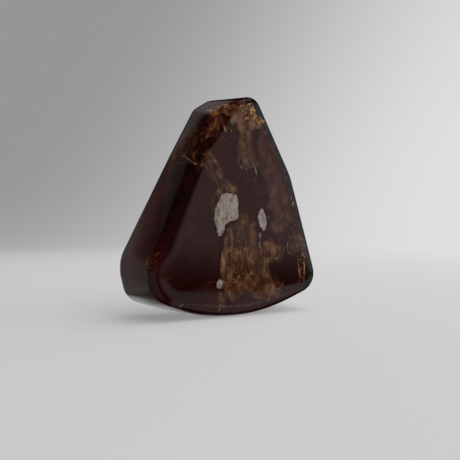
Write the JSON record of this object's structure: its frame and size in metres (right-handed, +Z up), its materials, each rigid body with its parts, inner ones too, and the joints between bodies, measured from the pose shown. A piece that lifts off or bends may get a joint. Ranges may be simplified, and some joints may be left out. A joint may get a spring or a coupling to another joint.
{
  "type": "polished dravite tourmaline crystal",
  "caption": "Hand-polished dravite tourmaline: a translucent dark red-brown rounded triangular slab that stands on a small ground flat.",
  "frame": {"origin": "middle of the crystal's footprint, on the plane that its ground flat rests on", "axes": "+Z up, +Y from the broad front face to the back, +X to the right as the front face is seen"},
  "size_m": [0.0304, 0.0096, 0.0335],
  "materials": {
    "dravite": "clear to cloudy red-brown tourmaline with golden fibrous veils and silvery internal cleavage flakes, polished to a glassy gloss"
  },
  "bodies": {
    "root": {"dravite_crystal": "dravite"}
  },
  "joints": []
}
